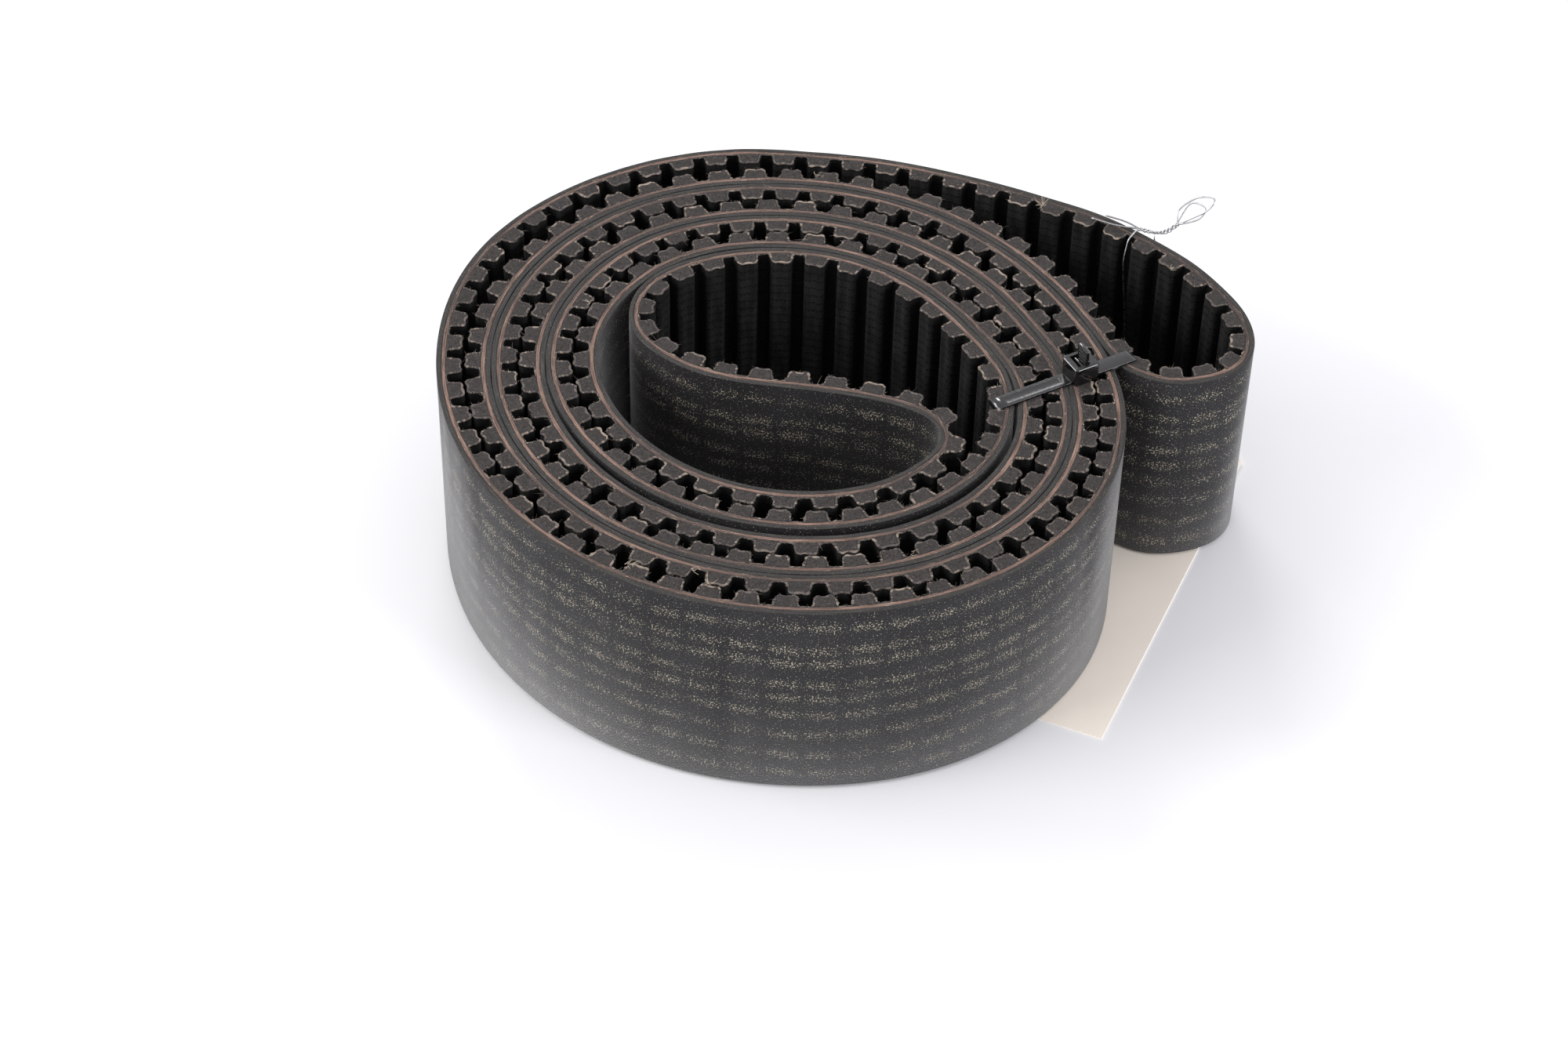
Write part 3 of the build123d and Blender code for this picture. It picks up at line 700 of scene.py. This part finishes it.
def fabric_ring(materials):
    """The tooth fabric, from its outer face to the cores, with ragged cut edges."""
    numbers, ahead, height = toothed_line(OUTER, LAND)
    inner_numbers, inner_ahead, inner_height = toothed_line(INNER, CORD_RADIUS)
    face = lay(numbers, height, ahead)
    core = lay(inner_numbers, inner_height, inner_ahead)
    count = len(face)
    outward = (face - core) / np.linalg.norm(face - core, axis=1)[:, None]
    random = np.random.default_rng(21)
    ragged = random.normal(0, 0.05 * MM, count) + smooth_noise(count, 3, 0.12 * MM, 22)
    lift = random.normal(0, 0.03 * MM, count) + smooth_noise(count, 4, 0.05 * MM, 23)
    low = BELT_FLOOR
    rows = [(0.0, low), (1.0, low), (1.0, low + 0.2 * MM), (1.0, low + 1.2 * MM), (1.0, BELT_TOP - 2.5 * MM),
            (1.0, BELT_TOP - 0.7 * MM), (1.0, BELT_TOP - 0.2 * MM), (0.95, BELT_TOP), (0.65, BELT_TOP),
            (0.33, BELT_TOP), (0.0, BELT_TOP)]
    vertices = np.empty((count, len(rows), 3))
    for column, (share, z) in enumerate(rows):
        plan = core + (face - core) * share
        rim = max(0.0, 1 - (BELT_TOP - z) / (1.2 * MM)) if share > 0.5 else 0.0
        plan = plan + outward * (ragged * rim)[:, None]
        vertices[:, column, :2] = plan
        on_edge = 1.0 if z >= BELT_TOP - 1e-9 else (0.4 if z > BELT_TOP - 0.3 * MM else 0.0)
        vertices[:, column, 2] = z + on_edge * (lift * share + 0.02 * MM)
    ups = vertices[:, :, 2]
    run = np.concatenate([[0], np.cumsum(np.linalg.norm(np.diff(face, axis=0), axis=1))])
    length = run[-1] + np.linalg.norm(face[0] - face[-1])
    heights = np.repeat(height[:, None], len(rows), 1)
    faces = ring_faces(count, len(rows))
    slots = np.tile([1, 0, 0, 0, 0, 0, 1, 1, 1, 1, 1], count)
    piece = build("tooth_fabric", vertices.reshape(-1, 3), faces, materials, slots,
                  ring_place(numbers * PITCH, heights, ups, TEETH * PITCH))
    weave = ring_place(run, heights, ups, length)
    layer = piece.data.attributes.new("weave_place", "FLOAT_VECTOR", "CORNER")
    layer.data.foreach_set("vector", weave.astype(np.float32).ravel())
    return piece, face, outward


# Rings of a core's cut face, as shares of its outline about its middle
CUT_RINGS = (1.0, 0.82, 0.6, 0.38, 0.16)
BASE_STEPS = 8


def tooth_cores(material):
    """The rubber cores: rounded prisms with a rough, slightly domed cut face."""
    foot = INNER[-1][0]
    base = [(foot * (1 - 2 * i / BASE_STEPS), CORD_RADIUS) for i in range(1, BASE_STEPS)]
    a, h = np.array(INNER + base).T
    on_base = h <= CORD_RADIUS + 1e-9
    middle = (CORD_RADIUS + CORE_TOP) / 2
    rings = [(1.0, BELT_FLOOR)] + [(share, BELT_TOP) for share in CUT_RINGS]
    random = np.random.default_rng(31)
    parts = []
    for k in range(TEETH):
        for share, z in rings:
            follows_belt = on_base & (share == 1.0)
            numbers = np.where(follows_belt, k + a / PITCH, k)
            plan = lay(numbers, middle + (h - middle) * share, np.where(follows_belt, 0.0, a * share))
            levels = np.full(len(a), z)
            if z > BELT_FLOOR:
                crown = 0.03 * MM if share < 1 else -0.02 * MM
                levels = z + crown + random.normal(0, 0.028 * MM, len(a))
            parts.append(np.column_stack([plan, levels]))
    vertices = np.concatenate(parts)
    piece = from_lists("tooth_rubber", vertices.tolist(), core_faces(len(a), len(rings)), material)
    share = np.repeat([ring[0] for ring in rings], len(a))
    along = np.arange(TEETH)[:, None] * PITCH + np.tile(a, len(rings)) * share
    over = np.tile(middle + (np.tile(h, len(rings)) - middle) * share, TEETH)
    belt = np.column_stack([along.ravel(), over, vertices[:, 2]])
    layer = piece.data.attributes.new("belt_place", "FLOAT_VECTOR", "POINT")
    layer.data.foreach_set("vector", belt.astype(np.float32).ravel())
    return piece


def core_faces(sides, rings):
    """Walls between the rings of every core, then the lower and the upper end faces."""
    side = np.arange(sides)
    after = (side + 1) % sides
    first = np.arange(TEETH)[:, None] * rings * sides
    ring = first[:, :, None] + np.arange(rings - 1)[None, :, None] * sides
    corners = (ring + side, ring + after, ring + sides + after, ring + sides + side)
    walls = np.stack(corners, -1).reshape(-1, 4)
    groups = (walls, first + side[::-1], first + (rings - 1) * sides + side)
    return [tuple(face) for group in groups for face in group.tolist()]


def hairs(name, roots, aims, lengths, radius, material, seed, curl=0.5):
    """Short loose fibres, three-sided and tapered, each from a root point in an aim's direction."""
    random = np.random.default_rng(seed)
    count, joints = len(roots), 4
    vertices = np.empty((count, joints, 3, 3))
    spin = random.uniform(0, 2 * pi, count)
    bend = random.normal(0, curl, (count, 3))
    for joint in range(joints):
        t = joint / (joints - 1)
        centre = roots + (aims * t + bend * t * t * 0.5) * lengths[:, None]
        width = radius * (1 - 0.7 * t)
        for side in range(3):
            angle = spin + side * 2 * pi / 3
            off = np.stack([np.cos(angle), np.sin(angle) * 0.7, np.sin(angle) * 0.7], 1)
            vertices[:, joint, side] = centre + off * width
    faces = []
    for joint in range(joints - 1):
        for side in range(3):
            a, b = joint * 3 + side, joint * 3 + (side + 1) % 3
            faces.append((a, b, b + 3, a + 3))
    faces = np.array(faces)
    ends = np.array([(0, 2, 1, 1), (9, 10, 11, 11)])
    offsets = (np.arange(count) * joints * 3)[:, None, None]
    quads = (faces[None] + offsets).reshape(-1, 4)
    caps = (ends[None, :, :3] + offsets).reshape(-1, 3)
    faces = [tuple(face) for group in (quads, caps) for face in group.tolist()]
    return from_lists(name, vertices.reshape(-1, 3).tolist(), faces, material)


def add_belt():
    body = "coiled_belt"
    backing = smooth_ring("belt_back", BACK, -CORD_RADIUS, 5, 0.02 * MM,
                          [back_cloth(), cut_backing()], 101)
    cords = smooth_ring("cord_line", -CORD_RADIUS, CORD_RADIUS, 9, 0.035 * MM,
                        [cut_cords(), cut_cords()], 201)
    fabric, face, outward = fabric_ring([tooth_fabric(), cut_fabric()])
    rubber = tooth_cores(cut_rubber())
    pairs = ((backing, "belt_backing", "backing_rubber"), (cords, "tensile_cord_layer", "cord_layer"),
             (fabric, "tooth_facing", "tooth_fabric"), (rubber, "tooth_cores", "tooth_rubber"))
    for piece, node, slot in pairs:
        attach(piece, body)
        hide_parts(node)
    random = np.random.default_rng(41)
    count = 4200
    pick = random.integers(0, len(face), count)
    share = random.uniform(0.6, 1.05, count)
    roots = np.column_stack([face[pick] - outward[pick] * ((1 - share) * 0.3 * MM)[:, None],
                             np.full(count, BELT_TOP - 0.02 * MM)])
    aims = np.column_stack([outward[pick] * random.uniform(0.1, 0.9, count)[:, None],
                            random.uniform(0.0, 0.7, count)])
    aims[:, :2] += random.normal(0, 0.5, (count, 2))
    lengths = random.gamma(2.0, 0.14, count) * MM + 0.1 * MM
    fuzz = hairs("cut_edge_fuzz", roots, aims, lengths, 0.024 * MM,
                 thread("fuzz_thread", (0.20, 0.16, 0.13), (0.46, 0.38, 0.31)), 42)
    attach(fuzz, body)
    teeth = random.uniform(0, TEETH, 1500)
    plan = lay(teeth, random.uniform(-0.42, 0.42, len(teeth)) * MM)
    _, along, _ = route(teeth)
    flip = random.choice([-1.0, 1.0], len(teeth))[:, None]
    roots = np.column_stack([plan, np.full(len(teeth), BELT_TOP + 0.01 * MM)])
    aims = np.column_stack([along * flip, random.uniform(0.0, 0.12, len(teeth))])
    add_tufts(face)
    strands = hairs("loose_cord_fibres", roots, aims, random.gamma(2.0, 0.6, len(teeth)) * MM, 0.035 * MM,
                    thread("cord_thread", (0.30, 0.19, 0.14), (0.66, 0.50, 0.41)), 43, curl=0.12)
    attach(strands, body)


# Where yarn ends stick up from the cut edge: plan place in millimetres, count, reach
TUFTS = ((41.9, 57.2, 16, 2.2), (-45.8, -62.3, 9, 2.6), (-29.2, -67.8, 7, 2.4), (-33.3, -62.3, 6, 1.8),
         (-60.0, 20.0, 5, 1.6), (12.0, -60.0, 5, 1.8), (66.0, 30.5, 5, 1.4), (-8.0, 66.0, 4, 1.5))


def add_tufts(face):
    """Loose yarn ends at a few teeth, standing a little above the cut edge."""
    random = np.random.default_rng(61)
    roots, aims, lengths = [], [], []
    for x, y, count, reach in TUFTS:
        nearest = face[np.linalg.norm(face - np.array([x, y]) * MM, axis=1).argmin()]
        heading = random.uniform(0, 2 * pi)
        for _ in range(count):
            angle = heading + random.normal(0, 0.9)
            roots.append((*(nearest + random.normal(0, 0.35 * MM, 2)), BELT_TOP))
            aims.append((cos(angle), sin(angle), random.uniform(0.1, 0.6)))
            lengths.append(random.uniform(0.4, 1.0) * reach * MM)
    yarn = hairs("yarn_tufts", np.array(roots), np.array(aims), np.array(lengths), 0.075 * MM,
                 thread("yarn_thread", (0.34, 0.27, 0.20), (0.62, 0.53, 0.43)), 62, curl=0.45)
    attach(yarn, "coiled_belt")


# ---------------------------------------------------------------- tie, tag and wire
def soften(node, width):
    """Rounds a CAD node's edges without changing its own vertices."""
    piece = NODES[node]
    weld = piece.modifiers.new("weld", "WELD")
    weld.merge_threshold = 0.001 * MM
    bevel = piece.modifiers.new("bevel", "BEVEL")
    bevel.width = width
    bevel.segments = 3
    bevel.limit_method = "ANGLE"
    bevel.angle_limit = radians(35)
    bevel.harden_normals = True
    for polygon in piece.data.polygons:
        polygon.use_smooth = True


def paint(node, material):
    piece = NODES[node]
    for slot in piece.material_slots:
        slot.material = material


def add_tie():
    nylon = tie_nylon()
    for node, width in (("cable_tie_strap", 0.12), ("cable_tie_head", 0.26), ("cable_tie_pawl", 0.05)):
        paint(node, nylon)
        soften(node, width * MM)


def add_tag():
    paint("tag_card", tag_paper("tag_card_paper", (0.97, 0.885, 0.79), (0.86, 0.75, 0.62)))
    ring = tag_paper("tag_ring_paper", (0.84, 0.73, 0.60), (0.62, 0.50, 0.38))
    paint("tag_patch_upper", ring)
    paint("tag_patch_lower", ring)


# Wire paths, in millimetres from the low corner of the solid wire's box
WIRE_RADIUS = 0.2 * MM
LAY_RADIUS = 0.30 * MM
LAY_PITCH = 1.9 * MM
WIRE_LEG = ((11.37, 8.91, 51.88), (9.87, 8.81, 51.78), (8.17, 7.21, 50.68), (7.17, 5.11, 45.98),
            (9.37, 2.81, 23.98), (11.97, 0.31, 3.98), (12.17, 0.11, 0.2), (17.87, 14.01, 0.2),
            (17.87, 14.01, 2.18), (17.17, 12.61, 9.98), (15.57, 10.61, 31.98), (13.97, 8.11, 51.88))
WIRE_TWIST = ((10.57, 9.31, 51.88), (13.57, 8.21, 51.88), (16.37, 7.51, 52.68), (19.17, 8.11, 54.58))
WIRE_END_LONG = ((11.27, 9.11, 51.98), (5.47, 10.81, 51.58), (0.07, 12.81, 51.88))
WIRE_END_SHORT = ((11.17, 9.01, 51.78), (7.57, 10.91, 52.58), (3.07, 12.21, 53.18))
WIRE_LOOP_OUTER = ((18.67, 7.91, 54.28), (19.17, 10.51, 56.58), (22.97, 11.21, 59.48),
                   (26.37, 9.01, 60.98), (24.87, 7.41, 58.88), (18.77, 8.11, 54.28))
WIRE_LOOP_INNER = ((18.37, 7.91, 53.98), (21.57, 11.01, 57.98), (24.57, 8.51, 58.68),
                   (23.17, 7.21, 56.58), (18.37, 8.01, 54.18))


def from_wire_corner(points):
    return np.array(points) * MM + np.array(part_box("tag_wire")[0])


def bent(points, samples=7):
    """A path of straight runs with rounded corners."""
    path = [points[0]]
    for before, corner, after in zip(points, points[1:], points[2:]):
        back, onward = before - corner, after - corner
        lengths = np.linalg.norm(back), np.linalg.norm(onward)
        start = corner + back / lengths[0] * 0.45 * min(lengths)
        end = corner + onward / lengths[1] * 0.45 * min(lengths)
        for t in np.linspace(0, 1, samples):
            path.append(start * (1 - t) ** 2 + corner * 2 * t * (1 - t) + end * t * t)
    return np.array(path + [points[-1]])


def flowing(points, samples=9):
    """A smooth path through the points."""
    path = []
    padded = np.concatenate([[2 * points[0] - points[1]], points, [2 * points[-1] - points[-2]]])
    for a, b, c, d in zip(padded, padded[1:], padded[2:], padded[3:]):
        for t in np.arange(samples) / samples:
            path.append(0.5 * (2 * b + (c - a) * t + (2 * a - 5 * b + 4 * c - d) * t * t
                               + (3 * b - a - 3 * c + d) * t ** 3))
    return np.array(path + [points[-1]])


def frames(path):
    """A direction along the path and two directions across it, carried without twist."""
    along = np.gradient(path, axis=0)
    along /= np.linalg.norm(along, axis=1)[:, None]
    side = np.cross(along[0], (0.3, 0.5, 0.81))
    sides = []
    for direction in along:
        side = side - direction * (side @ direction)
        side /= np.linalg.norm(side)
        sides.append(side)
    sides = np.array(sides)
    return along, sides, np.cross(along, sides)


def laid(path, turn):
    """One strand of a twist round a path, starting at an angle."""
    step = np.linalg.norm(np.diff(path, axis=0), axis=1)
    run = np.concatenate([[0], np.cumsum(step)])
    fine = np.linspace(0, run[-1], 90)
    path = np.stack([np.interp(fine, run, path[:, k]) for k in range(3)], 1)
    _, one, two = frames(path)
    angle = turn + fine * 2 * pi / LAY_PITCH + smooth_noise(90, 12, 0.5, 71)
    radius = LAY_RADIUS * (1 + np.clip(smooth_noise(90, 9, 0.35, 72), -0.4, 0.9))
    return path + one * (radius * np.cos(angle))[:, None] + two * (radius * np.sin(angle))[:, None]


def tubes(name, paths, radius, material, sides=8):
    """Round wires along paths, closed at both ends, as one mesh."""
    vertices, faces = [], []
    for path in paths:
        first = len(vertices)
        _, one, two = frames(path)
        for centre, u, v in zip(path, one, two):
            for k in range(sides):
                angle = 2 * pi * k / sides
                vertices.append(centre + u * (radius * cos(angle)) + v * (radius * sin(angle)))
        for ring in range(len(path) - 1):
            for k in range(sides):
                a, b = first + ring * sides + k, first + ring * sides + (k + 1) % sides
                faces.append((a, b, b + sides, a + sides))
        faces.append(tuple(first + k for k in reversed(range(sides))))
        faces.append(tuple(first + (len(path) - 1) * sides + k for k in range(sides)))
    return from_lists(name, [tuple(vertex) for vertex in vertices], faces, material)


def add_wire():
    twist = flowing(from_wire_corner(WIRE_TWIST))
    paths = [bent(from_wire_corner(WIRE_LEG)), laid(twist, 0.0), laid(twist, pi)]
    paths += [flowing(from_wire_corner(p)) for p in (WIRE_LOOP_OUTER, WIRE_LOOP_INNER)]
    paths += [flowing(from_wire_corner(p)) for p in (WIRE_END_LONG, WIRE_END_SHORT)]
    wire = tubes("tag_wire_strands", paths, WIRE_RADIUS, wire_metal())
    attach(wire, "coiled_belt")
    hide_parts("tag_wire")


add_camera()
add_stage()
add_belt()
add_tie()
add_tag()
add_wire()
